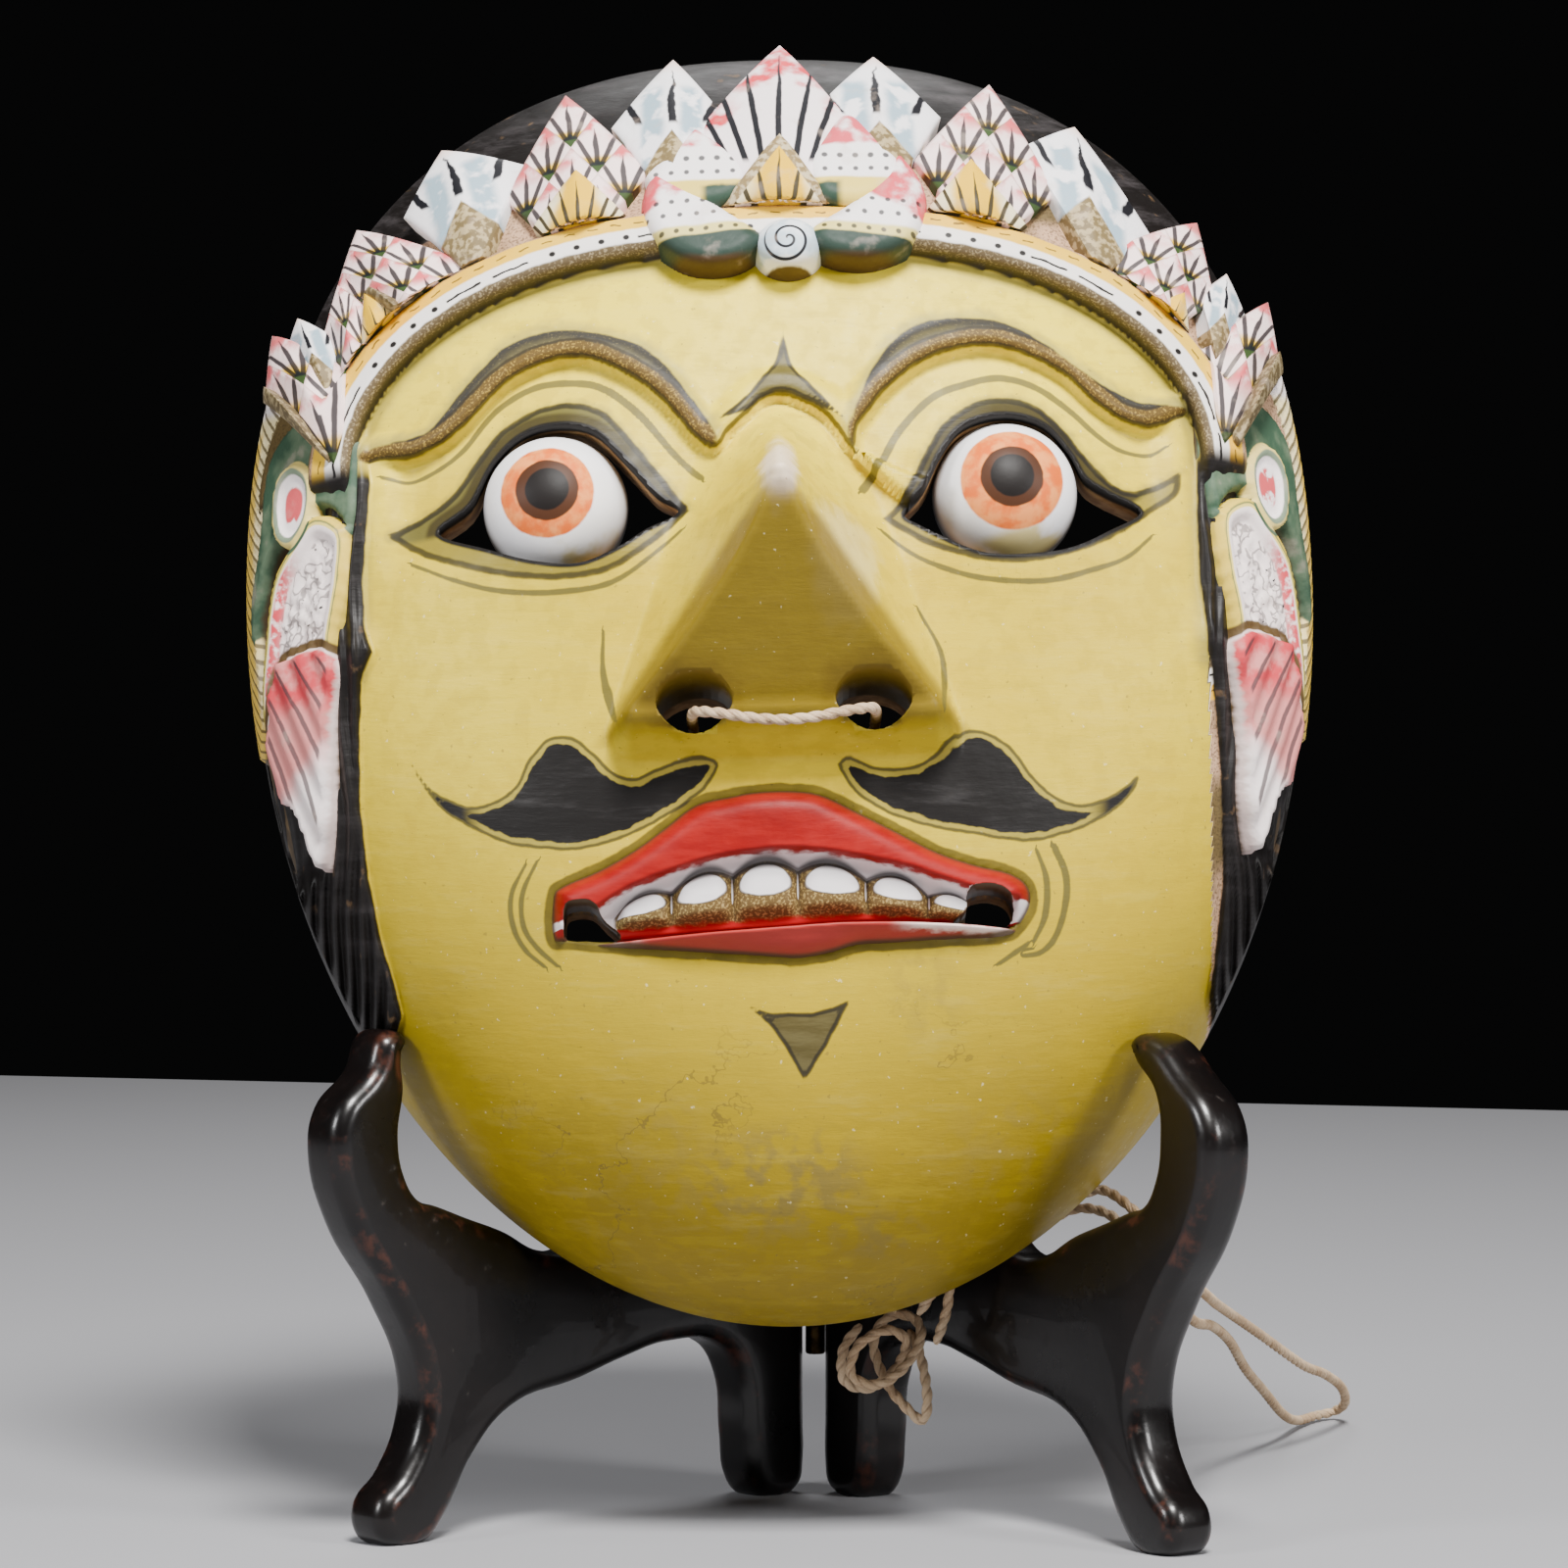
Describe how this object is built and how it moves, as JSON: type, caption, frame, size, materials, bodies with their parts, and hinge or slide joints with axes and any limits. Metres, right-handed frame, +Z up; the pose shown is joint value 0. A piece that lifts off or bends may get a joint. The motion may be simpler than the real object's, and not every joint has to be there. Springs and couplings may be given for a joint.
{
  "type": "carved wood theatre mask",
  "caption": "Carved and painted wooden theatre mask with a leafed crown, hollow behind, resting in a folding lacquered wooden stand, with a twine cord through its nostrils.",
  "frame": {"origin": "under the middle of the mask and its stand, on the surface that the stand's feet rest on", "axes": "+Z up, longest; the face looks along -Y, and +X is to its viewer's right"},
  "size_m": [0.1868, 0.1921, 0.2312],
  "materials": {
    "painted_wood": "distemper paint over carved wood, matt to satin, worn at the high places",
    "black_lacquer": "glossy black-brown lacquer, edges worn reddish",
    "brass": "dull",
    "twine_fibre": "two-ply natural fibre, matt"
  },
  "bodies": {
    "root": {"mask": "painted_wood", "stand_left": "black_lacquer", "stand_right": "black_lacquer", "hinge_barrel_1": "brass", "hinge_plate_left_1": "brass", "hinge_plate_right_1": "brass", "hinge_barrel_2": "brass", "hinge_plate_left_2": "brass", "hinge_plate_right_2": "brass", "twine_nose": "twine_fibre", "twine_loop": "twine_fibre", "twine_knot": "twine_fibre"}
  },
  "joints": []
}
